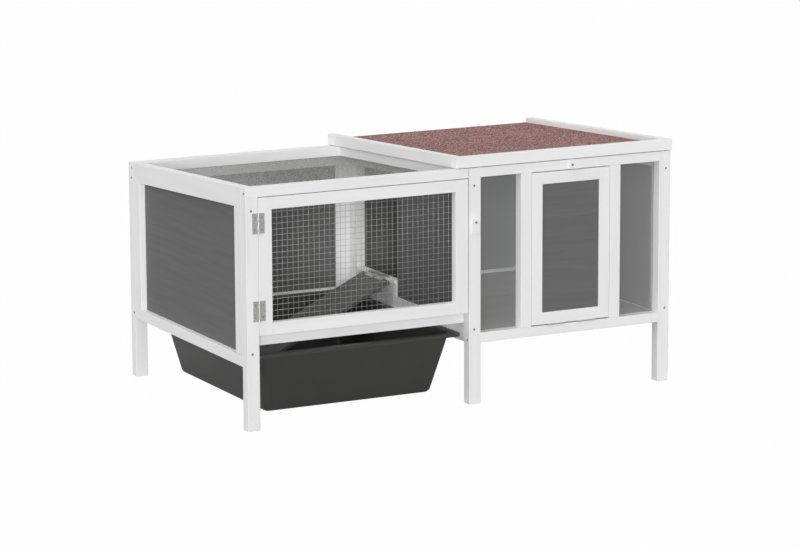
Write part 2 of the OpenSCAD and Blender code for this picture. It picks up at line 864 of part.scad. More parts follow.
leg_front_left();
leg_rear_left();
leg_front_middle();
leg_rear_middle();
leg_front_right();
leg_rear_right();
left_side_rails();
left_side_stiles();
left_side_panel();
run_top_front_rail();
run_top_back_rail();
run_top_right_rail();
run_top_net();
run_front_bottom_rail();
run_back_bottom_rail();
run_back_upper_rail();
run_back_stiles();
run_back_panel();
divider_bottom_rail();
divider_top_rail();
divider_jamb();
divider_panel();
sill_board();
sill_cap();
tub_runners();
tub();
ramp_board();
ramp_hinge_base();
ramp_hinge_leaves();
door_stiles();
door_rails();
door_net();
door_hinge_base();
door_hinge_leaves();
door_button();
flap_button();
button_screws();
hutch_top_rail();
hutch_bottom_rail();
window_stiles();
window_panes();
flap_stiles();
flap_rails();
flap_panel();
flap_hinge_base();
flap_hinge_leaves();
hutch_back_rails();
hutch_back_panel();
right_side_rails();
right_side_stiles();
right_side_panel();
hutch_floor();
floor_battens();
roof_board();
roof_felt();
roof_trim_front();
roof_trim_sides();
roof_hinge_base();
roof_hinge_leaves();
frame_screws();
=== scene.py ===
"""Dresses a raised rabbit hutch and its net-topped run.

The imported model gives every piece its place. Each class below dresses one sub-assembly:
it takes the pieces' places from the frame, models what the plain solids lack, such as
eased edges, wire nets, screw slots and the tub's rolled rim, and gives each its finish.
"""

from __future__ import annotations

import logging
import math
from collections.abc import Iterator
from contextlib import contextmanager
from dataclasses import dataclass, field
from enum import Enum

import bmesh
import bpy
from mathutils import Matrix, Vector

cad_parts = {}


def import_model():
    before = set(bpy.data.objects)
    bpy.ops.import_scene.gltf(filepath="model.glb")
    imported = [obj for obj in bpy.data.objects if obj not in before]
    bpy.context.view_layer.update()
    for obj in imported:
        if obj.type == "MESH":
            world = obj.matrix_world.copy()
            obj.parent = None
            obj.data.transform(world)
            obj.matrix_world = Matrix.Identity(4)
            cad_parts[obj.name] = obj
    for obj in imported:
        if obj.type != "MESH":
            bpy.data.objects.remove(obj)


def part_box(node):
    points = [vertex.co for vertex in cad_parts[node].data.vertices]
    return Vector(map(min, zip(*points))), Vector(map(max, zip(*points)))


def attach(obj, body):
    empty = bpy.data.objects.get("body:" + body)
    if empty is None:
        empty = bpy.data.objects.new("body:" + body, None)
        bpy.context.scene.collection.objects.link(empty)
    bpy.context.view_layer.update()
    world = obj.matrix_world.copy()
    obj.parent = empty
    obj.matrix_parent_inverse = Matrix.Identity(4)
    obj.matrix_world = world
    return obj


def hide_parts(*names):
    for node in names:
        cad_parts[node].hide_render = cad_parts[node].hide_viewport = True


LOG = logging.getLogger("hutch")
MM = 0.001
# Noise seldom leaves this range
NOISE_SPAN = {"From Min": 0.3, "From Max": 0.7}
# Settings of a Math node that weighs its first input by its second and adds its third
WEIGH_AND_ADD = {"operation": "MULTIPLY_ADD"}
# Points of the solids that lie closer than this are one point
MERGE_MM = 0.002
# Faces of the solids that lean less than this are one face
FLAT_DEGREES = 0.8
# Edges of the solids that turn more than this are sharp
SHARP_DEGREES = 40
# The usual sanding of a board's arrises
BOARD_EASE_MM = 0.8
# The usual sanding of a thin board, such as an infill panel
PANEL_EASE_MM = 0.4

Node = bpy.types.Node
Tree = bpy.types.NodeTree
Piece = bpy.types.Object
Inputs = dict[str | int, object]
Settings = dict[str, object]
Pair = tuple[float, float]
Triple = tuple[float, float, float]


class Grain(Enum):
    """The way that a board's grain runs."""

    ACROSS = 0
    DEEP = 1
    UPRIGHT = 2


def linear(code: str) -> tuple[float, float, float, float]:
    """Turns an sRGB hex colour into the linear colour that a shader wants.

    Args:
        code: The colour, such as "#e2e2e2".

    Returns:
        Red, green, blue and an alpha of 1.
    """
    parts = [int(code[i : i + 2], 16) / 255 for i in (1, 3, 5)]
    light = [p / 12.92 if p <= 0.04045 else ((p + 0.055) / 1.055) ** 2.4 for p in parts]
    return (*light, 1.0)


def add_node(
    tree: Tree, kind: str, inputs: Inputs | None = None, settings: Settings | None = None
) -> Node:
    """Adds one shader node, sets it up and links it.

    Args:
        tree: The node tree that gets the node.
        kind: Blender's name for the type of node, after its "ShaderNode".
        inputs: A value for each socket, or a pair of a node and its output to link.
        settings: Properties of the node, such as its operation.

    Returns:
        The new node.
    """
    node = tree.nodes.new(f"ShaderNode{kind}")
    for key, value in (settings or {}).items():
        setattr(node, key, value)
    for key, value in (inputs or {}).items():
        if isinstance(value, tuple) and isinstance(value[0], Node):
            tree.links.new(value[0].outputs[value[1]], node.inputs[key])
        else:
            node.inputs[key].default_value = value
    return node


def set_stops(ramp: Node, stops: list[tuple[float, str]]) -> None:
    """Gives a colour ramp its stops.

    Args:
        ramp: The Color Ramp node.
        stops: The place of each stop, from 0 to 1, and its hex colour.
    """
    elements = ramp.color_ramp.elements
    while len(elements) < len(stops):
        elements.new(0.5)
    for element, (place, code) in zip(elements, stops):
        element.position = place
        element.color = linear(code)


def pattern_space(tree: Tree, repeat_mm: Triple) -> Inputs:
    """Scales object coordinates so that one unit is one repeat of a pattern.

    Args:
        tree: The material's node tree.
        repeat_mm: The size of one repeat along X, Y and Z, in millimetres.

    Returns:
        The inputs that lay a texture out in that space.
    """
    place = add_node(tree, "TexCoord")
    scale = tuple(1 / (size * MM) for size in repeat_mm)
    inputs = {"Vector": (place, "Object"), "Scale": scale}
    mapping = add_node(tree, "Mapping", inputs)
    return {"Vector": (mapping, 0), "Scale": 1.0}


def along_grain(grain: Grain, length_mm: float, width_mm: float) -> Triple:
    """Sizes a pattern that is long along the grain and narrow across it."""
    sizes = [width_mm, width_mm, width_mm]
    sizes[grain.value] = length_mm
    return tuple(sizes)


@dataclass(frozen=True)
class Finish:
    """What all finishes share.

    Attributes:
        name: The finish in a maker's words, which names its material too.
        roughness: How matt it is.
    """

    name: str
    roughness: float

    def material(self) -> bpy.types.Material:
        """Makes the material at its first use and hands back the same one later."""
        found = bpy.data.materials.get(self.name)
        if found is not None:
            return found
        made = bpy.data.materials.new(self.name)
        made.use_nodes = True
        tree = made.node_tree
        tree.nodes.clear()
        shader = add_node(tree, "BsdfPrincipled", self.looks(tree))
        add_node(tree, "OutputMaterial", {"Surface": (shader, 0)})
        return made

    def looks(self, tree: Tree) -> Inputs:
        """Builds the finish's pattern; each kind of finish has its own.

        Args:
            tree: The material's node tree.

        Returns:
            A value or a link for each socket of the shader.
        """
        raise NotImplementedError


@dataclass(frozen=True)
class PaintedTimber(Finish):
    """Satin water-based paint, sprayed on planed fir.

    The coat is thin, so the fibres still show as faint ridges along the board, and the
    paint is a shade duller where the softer wood drank it.

    Attributes:
        grain: The way that the board's grain runs.
        fibre_mm: The length and the width of a fibre.
        cloud_mm: The length and the width of a broad patch of tone.
        fibre_share: How much the fibres add to the patches of tone.
        light: The colour of the palest paint.
        shade: The colour of the darkest paint.
        gloss_change: How much smoother and how much duller than usual the paint gets.
        ridge_mm: The height of the ridges.
    """

    grain: Grain
    fibre_mm: Pair = (70.0, 1.6)
    cloud_mm: Pair = (260.0, 26.0)
    fibre_share: float = 0.35
    light: str = "#e8e8e8"
    shade: str = "#e3e3e3"
    gloss_change: Pair = (-0.05, 0.07)
    ridge_mm: float = 0.06

    def looks(self, tree: Tree) -> Inputs:
        """Builds fibres, broad clouds of tone and the satin coat."""
        inputs = pattern_space(tree, along_grain(self.grain, *self.fibre_mm))
        inputs |= {"Detail": 4.0, "Roughness": 0.6}
        fibres = add_node(tree, "TexNoise", inputs)
        inputs = pattern_space(tree, along_grain(self.grain, *self.cloud_mm)) | {"Detail": 2.0}
        clouds = add_node(tree, "TexNoise", inputs)
        inputs = {0: (fibres, "Fac"), 1: self.fibre_share, 2: (clouds, "Fac")}
        mixed = add_node(tree, "Math", inputs, WEIGH_AND_ADD)
        tone = add_node(tree, "ValToRGB", {"Fac": (mixed, 0)})
        set_stops(tone, [(0.45, self.shade), (0.85, self.light)])
        smooth_end, dull_end = (self.roughness + change for change in self.gloss_change)
        inputs = {"Value": (clouds, "Fac"), "To Min": smooth_end, "To Max": dull_end} | NOISE_SPAN
        gloss = add_node(tree, "MapRange", inputs)
        inputs = {"Strength": 0.5, "Distance": self.ridge_mm * MM, "Height": (fibres, "Fac")}
        ridges = add_node(tree, "Bump", inputs)
        return {"Base Color": (tone, 0), "Roughness": (gloss, 0), "Normal": (ridges, 0)}


@dataclass(frozen=True)
class StainedBoard(Finish):
    """Matt stain on a thin fir board.

    The stain leaves the grain open: fine lines run along the board, a few of them deep
    enough to catch the light, and some stretches took more colour than others.

    Attributes:
        grain: The way that the board's grain runs.
        line_mm: The length and the width of a grain line.
        band_mm: The length and the width of a band of tone.
        light: The colour of the palest band.
        shade: The colour of the darkest band.
        line_colour: The colour of the grain lines.
        line_span: The part of the noise over which a line deepens.
        line_share: How much of its own colour a deep line shows.
        groove_weight: The depth of a deep line against the rest of the grain.
        groove_mm: The depth of the relief.
    """

    grain: Grain
    line_mm: Pair = (55.0, 1.5)
    band_mm: Pair = (190.0, 9.0)
    light: str = "#626262"
    shade: str = "#5b5b5b"
    line_colour: str = "#4f4f4f"
    line_span: Pair = (0.58, 0.72)
    line_share: float = 0.4
    groove_weight: float = -0.8
    groove_mm: float = 0.1

    def looks(self, tree: Tree) -> Inputs:
        """Builds bands of tone, dark grain lines and their grooves."""
        inputs = pattern_space(tree, along_grain(self.grain, *self.band_mm))
        inputs |= {"Detail": 3.0, "Distortion": 0.6}
        bands = add_node(tree, "TexNoise", inputs)
        tone = add_node(tree, "ValToRGB", {"Fac": (bands, "Fac")})
        set_stops(tone, [(0.32, self.shade), (0.68, self.light)])
        inputs = pattern_space(tree, along_grain(self.grain, *self.line_mm))
        inputs |= {"Detail": 5.0, "Roughness": 0.65}
        lines = add_node(tree, "TexNoise", inputs)
        curve = {"interpolation_type": "SMOOTHSTEP"}
        start, end = self.line_span
        inputs = {"Value": (lines, "Fac"), "From Min": start, "From Max": end}
        deep = add_node(tree, "MapRange", inputs, curve)
        inputs = {0: (deep, 0), 1: self.line_share}
        part = add_node(tree, "Math", inputs, {"operation": "MULTIPLY"})
        inputs = {"Fac": (part, 0), "Color1": (tone, 0), "Color2": linear(self.line_colour)}
        stained = add_node(tree, "MixRGB", inputs)
        inputs = {0: (deep, 0), 1: self.groove_weight, 2: (lines, "Fac")}
        height = add_node(tree, "Math", inputs, WEIGH_AND_ADD)
        inputs = {"Strength": 0.6, "Distance": self.groove_mm * MM, "Height": (height, 0)}
        grooves = add_node(tree, "Bump", inputs)
        return {"Base Color": (stained, 0), "Roughness": self.roughness, "Normal": (grooves, 0)}


@dataclass(frozen=True)
class MineralFelt(Finish):
    """Bitumen roofing felt with crushed-slate granules pressed in.

    The granules are angular and matt, each its own shade of red-brown, so the sheet
    sparkles unevenly. Real grit is about 1 mm; it is drawn at 2.2 mm, because finer grit
    can't be told apart at the distance of the main view.

    Attributes:
        grit_mm: The size of a granule.
        patch_mm: The size of the slow patches of tone.
        patch_share: How much the patches add to the granules' own shades.
        dark: The colour of the darkest granules.
        middle: The colour of the granules between.
        pale: The colour of the palest granules.
        dome_weight: How much a granule drops towards its edge.
        rise_mm: The height of the relief.
    """

    grit_mm: float = 2.2
    patch_mm: float = 60.0
    patch_share: float = 0.3
    dark: str = "#240e0e"
    middle: str = "#5d3333"
    pale: str = "#c9978f"
    dome_weight: float = -0.8
    rise_mm: float = 0.9

    def looks(self, tree: Tree) -> Inputs:
        """Builds the granules, their shades and the sheet's slow patches."""
        inputs = pattern_space(tree, (self.grit_mm,) * 3) | {"Randomness": 1.0}
        grit = add_node(tree, "TexVoronoi", inputs)
        apart = add_node(tree, "SeparateColor", {"Color": (grit, "Color")})
        inputs = pattern_space(tree, (self.patch_mm,) * 3) | {"Detail": 3.0}
        patches = add_node(tree, "TexNoise", inputs)
        inputs = {0: (patches, "Fac"), 1: self.patch_share, 2: (apart, "Red")}
        leaning = add_node(tree, "Math", inputs, WEIGH_AND_ADD)
        tone = add_node(tree, "ValToRGB", {"Fac": (leaning, 0)})
        set_stops(tone, [(0.15, self.dark), (0.62, self.middle), (1.0, self.pale)])
        inputs = {0: (grit, "Distance"), 1: self.dome_weight, 2: (apart, "Green")}
        rise = add_node(tree, "Math", inputs, WEIGH_AND_ADD)
        inputs = {"Strength": 0.7, "Distance": self.rise_mm * MM, "Height": (rise, 0)}
        rough = add_node(tree, "Bump", inputs)
        return {"Base Color": (tone, 0), "Roughness": self.roughness, "Normal": (rough, 0)}


@dataclass(frozen=True)
class MouldedPlastic(Finish):
    """Polypropylene, injection moulded in a spark-eroded tool.

    The tool leaves a fine leathery texture, which spreads the highlights, and the colour
    goes right through with hardly any variation.

    Attributes:
        dark: The colour where the plastic flowed densest.
        light: The colour where it flowed thinnest.
        flow_mm: The size of the slow change between them.
        texture_mm: The size of one bump of the texture.
        depth_mm: The depth of the texture.
    """

    dark: str
    light: str
    flow_mm: float = 120.0
    texture_mm: float = 1.1
    depth_mm: float = 0.12

    def looks(self, tree: Tree) -> Inputs:
        """Builds the eroded texture and the flow of slightly paler plastic."""
        inputs = pattern_space(tree, (self.texture_mm,) * 3) | {"Detail": 2.0}
        texture = add_node(tree, "TexNoise", inputs)
        inputs = pattern_space(tree, (self.flow_mm,) * 3) | {"Detail": 2.0}
        flow = add_node(tree, "TexNoise", inputs)
        tone = add_node(tree, "ValToRGB", {"Fac": (flow, "Fac")})
        set_stops(tone, [(0.3, self.dark), (0.7, self.light)])
        inputs = {"Strength": 0.5, "Distance": self.depth_mm * MM, "Height": (texture, "Fac")}
        pits = add_node(tree, "Bump", inputs)
        return {"Base Color": (tone, 0), "Roughness": self.roughness, "Normal": (pits, 0)}


@dataclass(frozen=True)
class ClearAcrylic(Finish):
    """Cast acrylic sheet, 2 mm thick, with the slight haze of a cheap pane.

    Attributes:
        colour: The colour of its haze.
        cover: How much of what is behind the haze hides.
        haze_mm: The size of a patch of haze.
        haze_change: How much duller the haze makes the sheet.
        refraction: The refractive index of acrylic.
    """

    colour: str
    cover: float = 0.1
    haze_mm: float = 45.0
    haze_change: float = 0.08
    refraction: float = 1.49

    def looks(self, tree: Tree) -> Inputs:
        """Builds a thin see-through sheet whose gloss varies a little with the haze."""
        inputs = pattern_space(tree, (self.haze_mm,) * 3) | {"Detail": 2.0}
        haze = add_node(tree, "TexNoise", inputs)
        inputs = {"To Min": self.roughness, "To Max": self.roughness + self.haze_change}
        inputs |= {"Value": (haze, "Fac")}
        gloss = add_node(tree, "MapRange", inputs)
        clear = {"IOR": self.refraction, "Alpha": self.cover}
        return {"Base Color": linear(self.colour), "Roughness": (gloss, 0)} | clear


@dataclass(frozen=True)
class ZincMetal(Finish):
    """Steel with a thin coat of zinc, either hot-dipped wire or plated pressings.

    Zinc dulls unevenly as it cools or tarnishes, so its gloss comes in small patches.

    Attributes:
        bright: The colour of bright zinc.
        dull: The colour of dull zinc.
        patch_mm: The size of a patch.
        spread: How much rougher dull zinc is.
    """

    bright: str
    dull: str
    patch_mm: float = 3.0
    spread: float = 0.16

    def looks(self, tree: Tree) -> Inputs:
        """Builds the patches of duller zinc."""
        inputs = pattern_space(tree, (self.patch_mm,) * 3) | {"Detail": 3.0}
        patches = add_node(tree, "TexNoise", inputs)
        tone = add_node(tree, "ValToRGB", {"Fac": (patches, "Fac")})
        set_stops(tone, [(0.35, self.dull), (0.65, self.bright)])
        inputs = {"To Min": self.roughness + self.spread, "To Max": self.roughness}
        inputs |= {"Value": (patches, "Fac")} | NOISE_SPAN
        gloss = add_node(tree, "MapRange", inputs)
        return {"Base Color": (tone, 0), "Roughness": (gloss, 0), "Metallic": 1.0}


def white_paint(grain: Grain) -> PaintedTimber:
    """The frame's white paint, with its fibres along the board."""
    return PaintedTimber(f"satin_white_paint_{grain.name.lower()}", 0.5, grain)


def grey_stain(grain: Grain) -> StainedBoard:
    """The infill panels' dark grey stain."""
    return StainedBoard(f"matt_grey_stain_{grain.name.lower()}", 0.62, grain)


FLOOR_STAIN = StainedBoard(
    "pale_grey_floor_stain", 0.6, Grain.ACROSS, light="#a6a6a4", shade="#949492", line_colour="#868684"
)
RAMP_STAIN = StainedBoard(
    "dark_grey_ramp_stain", 0.6, Grain.ACROSS, light="#606060", shade="#4e4e4d", line_colour="#3e3e3d"
)
BARE_PLY = StainedBoard(
    "bare_fir_plywood", 0.7, Grain.ACROSS, light="#d0b58a", shade="#bfa074", line_colour="#9c7c50"
)
ROOF_FELT = MineralFelt("red_mineral_felt", 0.9)
TUB_PLASTIC = MouldedPlastic("moulded_dark_grey_polypropylene", 0.4, "#343433", "#383837")
PANE_ACRYLIC = ClearAcrylic("clear_cast_acrylic", 0.06, "#eceeed")
NET_ZINC = ZincMetal("hot_dipped_zinc_wire", 0.42, "#c2c3c0", "#a2a3a0")
TOP_NET_ZINC = ZincMetal("mottled_zinc_wire", 0.42, "#ecedea", "#a2a3a0", patch_mm=4.0, spread=0.2)
HINGE_ZINC = ZincMetal("zinc_plated_pressing", 0.36, "#d2d3d2", "#bcbdbb")
SCREW_ZINC = ZincMetal("zinc_plated_screw", 0.32, "#a4a5a5", "#8b8c8c", patch_mm=1.5)


def pick(piece: Piece | None = None) -> None:
    """Leaves edit mode, deselects everything and makes one piece the active one.

    Args:
        piece: The piece to select, or None to leave nothing selected.
    """
    if bpy.context.object is not None and bpy.context.object.mode != "OBJECT":
        bpy.ops.object.mode_set(mode="OBJECT")
    bpy.ops.object.select_all(action="DESELECT")
    if piece is not None:
        piece.select_set(True)
        bpy.context.view_layer.objects.active = piece


@contextmanager
def editing(piece: Piece, whole: bool = True) -> Iterator[bmesh.types.BMesh]:
    """Opens a piece in edit mode and goes back to object mode afterwards.

    Args:
        piece: The mesh object to edit.
        whole: Whether all of it is selected at first, or nothing.

    Yields:
        Its edit mesh, for selecting parts by their place.
    """
    pick(piece)
    bpy.ops.object.mode_set(mode="EDIT")
    bpy.ops.mesh.select_mode(type="VERT")
    bpy.ops.mesh.select_all(action="SELECT" if whole else "DESELECT")
    yield bmesh.from_edit_mesh(piece.data)
    bpy.ops.object.mode_set(mode="OBJECT")


def settle(piece: Piece) -> None:
    """Puts a piece's place into its mesh, so that its object sits at the origin."""
    pick(piece)
    bpy.ops.object.transform_apply(location=True, rotation=True, scale=True)


def smooth(piece: Piece, degrees: float) -> None:
    """Shades a piece smooth, apart from edges that turn more than the angle."""
    pick(piece)
    bpy.ops.object.shade_smooth_by_angle(angle=math.radians(degrees))


def apply_modifier(piece: Piece, kind: str, settings: Settings) -> None:
    """Adds a modifier, sets it up and applies it.

    Args:
        piece: The piece to change.
        kind: Blender's name for the modifier.
        settings: The modifier's properties.
    """
    pick(piece)
    modifier = piece.modifiers.new(kind.title(), kind)
    for key, value in settings.items():
        setattr(modifier, key, value)
    bpy.ops.object.modifier_apply(modifier=modifier.name)


def ease_edges(piece: Piece, radius_mm: float, segments: int = 2) -> None:
    """Rounds a piece's sharp edges and smooths what is round.

    The wide faces keep their own normals, so that only the rounding shades.

    Args:
        piece: The piece to ease.
        radius_mm: How far the rounding reaches from each edge.
        segments: The number of faces round each edge.
    """
    settings = {"width": radius_mm * MM, "segments": segments}
    settings |= {"limit_method": "ANGLE", "angle_limit": math.radians(SHARP_DEGREES)}
    apply_modifier(piece, "BEVEL", settings)
    smooth(piece, degrees=38)
    settings = {"mode": "FACE_AREA", "weight": 100, "keep_sharp": True}
    apply_modifier(piece, "WEIGHTED_NORMAL", settings)


def joined(name: str, parts: list[Piece]) -> Piece:
    """Joins several objects into one named piece."""
    pick(parts[0])
    for part in parts:
        part.select_set(True)
    bpy.ops.object.join()
    parts[0].name = name
    return parts[0]


def merged_copy(node: str, name: str) -> Piece:
    """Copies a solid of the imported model, with its triangles merged to whole faces.

    Args:
        node: The solid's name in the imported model.
        name: The name of the copy.

    Returns:
        The copy, which rides on nothing yet.
    """
    source = bpy.data.objects[node]
    piece = bpy.data.objects.new(name, source.data.copy())
    bpy.context.scene.collection.objects.link(piece)
    piece.data.materials.clear()
    with editing(piece):
        bpy.ops.mesh.remove_doubles(threshold=MERGE_MM * MM)
        bpy.ops.mesh.dissolve_limited(angle_limit=math.radians(FLAT_DEGREES))
    return piece


def dress(piece: Piece, finish: Finish, body: str, nodes: tuple[str, ...] = ()) -> None:
    """Gives a finished piece its material and its body, and hides the solids that it stands for.

    Args:
        piece: The finished piece.
        finish: Its finish.
        body: The body that carries it.
        nodes: The solids that it replaces.
    """
    piece.data.materials.clear()
    piece.data.materials.append(finish.material())
    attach(piece, body)
    if nodes:
        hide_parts(*nodes)
    faces = len(piece.data.polygons)
    LOG.info("%s rides on %s in %s, %d faces", piece.name, body, finish.name, faces)


@dataclass
class Joinery:
    """Painted and stained boards that keep their solid's place and shape.

    Attributes:
        body: The body that carries the boards.
        timber: Each painted board's node and the way its grain runs.
        panels: Each stained panel's node and the way its grain runs.
    """

    body: str
    timber: dict[str, Grain] = field(default_factory=dict)
    panels: dict[str, Grain] = field(default_factory=dict)

    def build(self) -> None:
        """Dresses all the boards."""
        for node, grain in self.timber.items():
            self.board(node, white_paint(grain))
        for node, grain in self.panels.items():
            self.board(node, grey_stain(grain), PANEL_EASE_MM)

    def board(self, node: str, finish: Finish, ease_mm: float = BOARD_EASE_MM) -> None:
        """Copies a board, sands its edges and paints it.

        Args:
            node: The board's solid.
            finish: Its finish.
            ease_mm: How far its arrises are sanded.
        """
        piece = merged_copy(node, f"finished_{node}")
        ease_edges(piece, ease_mm)
        dress(piece, finish, self.body, (node,))


@dataclass
class WireNet:
    """Welded wire net: one layer of wires lies on the other and is fused to it.

    Attributes:
        node: The sheet that stands for the net.
        body: The body that carries it.
        pitch_mm: The spacing of the wires.
        wire_mm: The thickness of a wire.
        sides: The number of faces round a wire.
        fall: How steeply the net drops to the back, as a slope.
        finish: The coat of its wires.
        pinch_share: How far the nippers round a cut end, as a share of a wire's radius.
        gap_share: How far apart crossed wires lie, as a share of a wire's thickness.
    """

    node: str
    body: str
    pitch_mm: float
    wire_mm: float
    sides: int = 8
    fall: float = 0.0
    finish: ZincMetal = NET_ZINC
    pinch_share: float = 0.35
    gap_share: float = 0.85

    def build(self) -> None:
        """Lays both layers of wire in the net's plane and tips them into place."""
        low, high = (Vector(corner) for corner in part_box(self.node))
        upright = self.fall == 0.0
        width = high.x - low.x
        depth = high.y - low.y
        length = high.z - low.z if upright else math.hypot(depth, depth * self.fall)
        radius = self.wire_mm * MM / 2
        warp = self.layer("warp", width, length, radius, turned=False)
        weft = self.layer("weft", length, width, radius, turned=True)
        net = joined(f"welded_{self.node}", [warp, weft])
        tip = math.radians(90) if upright else -math.atan(self.fall)
        corner = (low.x, low.y + radius, low.z) if upright else (low.x, low.y, high.z - radius)
        net.matrix_world = Matrix.Translation(corner) @ Matrix.Rotation(tip, 4, "X")
        settle(net)
        smooth(net, degrees=60)
        dress(net, self.finish, self.body, (self.node,))

    def layer(self, name: str, spread: float, length: float, radius: float, turned: bool) -> Piece:
        """Makes one layer of parallel wires, from one wire that is repeated.

        Args:
            name: The layer's name.
            spread: The distance that the wires are spread over.
            length: The length of each wire.
            radius: The radius of a wire.
            turned: Whether the wires run along X, behind the first layer.

        Returns:
            The layer, in the plane of X and Y.
        """
        step = self.pitch_mm * MM
        count = int((spread - 2 * radius) / step) + 1
        first = (spread - (count - 1) * step) / 2
        bpy.ops.mesh.primitive_cylinder_add(
            vertices=self.sides, radius=radius, depth=length, end_fill_type="NGON"
        )
        wire = bpy.context.object
        wire.name = name
        with editing(wire):
            bpy.ops.mesh.bevel(offset=radius * self.pinch_share, segments=1, affect="EDGES")
        along = Matrix.Rotation(math.radians(90), 4, "Y" if turned else "X")
        behind = -2 * radius * self.gap_share
        centre = (length / 2, first, behind) if turned else (first, length / 2, 0)
        wire.matrix_world = Matrix.Translation(centre) @ along
        settle(wire)
        shift = (0, step, 0) if turned else (step, 0, 0)
        settings = {"use_relative_offset": False, "use_constant_offset": True}
        settings |= {"count": count, "constant_offset_displace": shift}
        apply_modifier(wire, "ARRAY", settings)
        return wire


@dataclass
class CrossHeadScrews:
    """Small screws with a low domed head and a cross recess, in place of plain solids.

    Attributes:
        node: The node that holds the plain screws.
        outward: A rough direction that the heads face.
        widest_mm: The widest that a plain screw's solid may be.
        slot_share: The length of a recess arm, as a share of the head's width.
        arm_share: The width of a recess arm, as a share of the head's width.
        depth_share: The depth of the recess, as a share of the head's radius.
        height_share: The height of the head, as a share of its radius.
        dome_share: How much of the height the dome takes up.
        facing: How square a cap faces the outward way, at least, from 0 to 1.
        turn_step: How far each recess is turned from the last one's, in radians.
    """

    node: str
    outward: Vector
    widest_mm: float = 12.0
    slot_share: float = 0.62
    arm_share: float = 0.17
    depth_share: float = 0.3
    height_share: float = 0.42
    dome_share: float = 0.7
    facing: float = 0.4
    turn_step: float = 0.6

    def head(self, radius: float, height: float) -> Piece:
        """Models one head, standing on the origin and facing up.

        Args:
            radius: The head's radius.
            height: The head's height.

        Returns:
            The head.
        """
        bpy.ops.mesh.primitive_cylinder_add(
            vertices=20, radius=radius, depth=height, location=(0, 0, height / 2)
        )
        head = bpy.context.object
        settle(head)
        with editing(head, whole=False) as mesh:
            for vertex in mesh.verts:
                vertex.select_set(vertex.co.z > height / 2)
            mesh.select_flush(True)
            bpy.ops.mesh.bevel(offset=height * self.dome_share, segments=3)
        for turned in (False, True):
            self.cut_arm(head, radius, height, turned)
        smooth(head, degrees=35)
        return head

    def cut_arm(self, head: Piece, radius: float, height: float, turned: bool) -> None:
        """Cuts one arm of the cross recess into a head.

        Args:
            head: The head to cut.
            radius: The head's radius.
            height: The head's height.
            turned: Whether the arm runs along Y.
        """
        long = 2 * radius * self.slot_share
        wide = 2 * radius * self.arm_share
        deep = radius * self.depth_share
        size = (wide, long, 2 * deep) if turned else (long, wide, 2 * deep)
        bpy.ops.mesh.primitive_cube_add(size=1, location=(0, 0, height), scale=size)
        cutter = bpy.context.object
        settle(cutter)
        settings = {"operation": "DIFFERENCE", "solver": "EXACT", "object": cutter}
        apply_modifier(head, "BOOLEAN", settings)
        bpy.data.objects.remove(cutter)

    def seats(self) -> list[tuple[Vector, Vector, float]]:
        """Finds the round caps of the plain screws.

        Returns:
            The centre, the direction and the radius of each cap.
        """
        piece = merged_copy(self.node, "screw_survey")
        mesh = bmesh.new()
        mesh.from_mesh(piece.data)
        found = []
        for group in islands(mesh):
            if longest_side(group) > self.widest_mm * MM:
                continue
            facing = [face for face in group if face.normal.dot(self.outward) > self.facing]
            cap = max(facing, key=lambda face: face.calc_area())
            centre = cap.calc_center_median()
            radius = max((vertex.co - centre).length for vertex in cap.verts)
            found.append((centre.copy(), cap.normal.copy(), radius))
        mesh.free()
        bpy.data.objects.remove(piece)
        return found

    def drive(self, name: str) -> Piece:
        """Puts a head level with each plain cap and joins them under one name."""
        heads = []
        for turn, (centre, normal, radius) in enumerate(self.seats()):
            height = radius * self.height_share
            head = self.head(radius, height)
            spin = Matrix.Rotation(self.turn_step * turn, 4, "Z")
            aim = normal.to_track_quat("Z", "Y").to_matrix().to_4x4()
            head.matrix_world = Matrix.Translation(centre - normal * height) @ aim @ spin
            settle(head)
            heads.append(head)
        return joined(name, heads)


def islands(mesh: bmesh.types.BMesh) -> list[list[bmesh.types.BMFace]]:
    """Groups a mesh's faces into its separate solids."""
    waiting = set(mesh.faces)
    groups = []
    while waiting:
        front = [waiting.pop()]
        group = []
        while front:
            face = front.pop()
            group.append(face)
            near = {other for edge in face.edges for other in edge.link_faces} & waiting
            waiting -= near
            front += near
        groups.append(sorted(group, key=lambda face: face.index))
    return sorted(groups, key=lambda group: group[0].index)


def longest_side(group: list[bmesh.types.BMFace]) -> float:
    """Measures the longest side of the box round some faces."""
    spots = [vertex.co for face in group for vertex in face.verts]
    return max(max(p[i] for p in spots) - min(p[i] for p in spots) for i in range(3))


@dataclass
class ButtHinge:
    """One half of a row of butt hinges: pressed leaves, rolled knuckles and screws.

    Attributes:
        node: The solids of the leaves, knuckles and plain screws.
        body: The body that carries this half.
        outward: The way that the screw heads face, or None where they are hidden.
        screw_mm: The widest that a plain screw's solid may be.
        ease_mm: The rounding of the pressed edges.
    """

    node: str
    body: str
    outward: Vector | None
    screw_mm: float = 4.5
    ease_mm: float = 0.18

    def build(self) -> None:
        """Finishes the leaves and drives the screws."""
        leaves = merged_copy(self.node, f"pressed_{self.node}")
        with editing(leaves, whole=False) as mesh:
            for group in islands(mesh):
                if longest_side(group) < self.screw_mm * MM:
                    for face in group:
                        face.select_set(True)
            bpy.ops.mesh.delete(type="FACE")
        ease_edges(leaves, self.ease_mm)
        dress(leaves, HINGE_ZINC, self.body, (self.node,))
        if self.outward is None:
            return
        screws = CrossHeadScrews(self.node, self.outward, self.screw_mm)
        heads = screws.drive(f"screws_{self.node}")
        dress(heads, SCREW_ZINC, self.body)


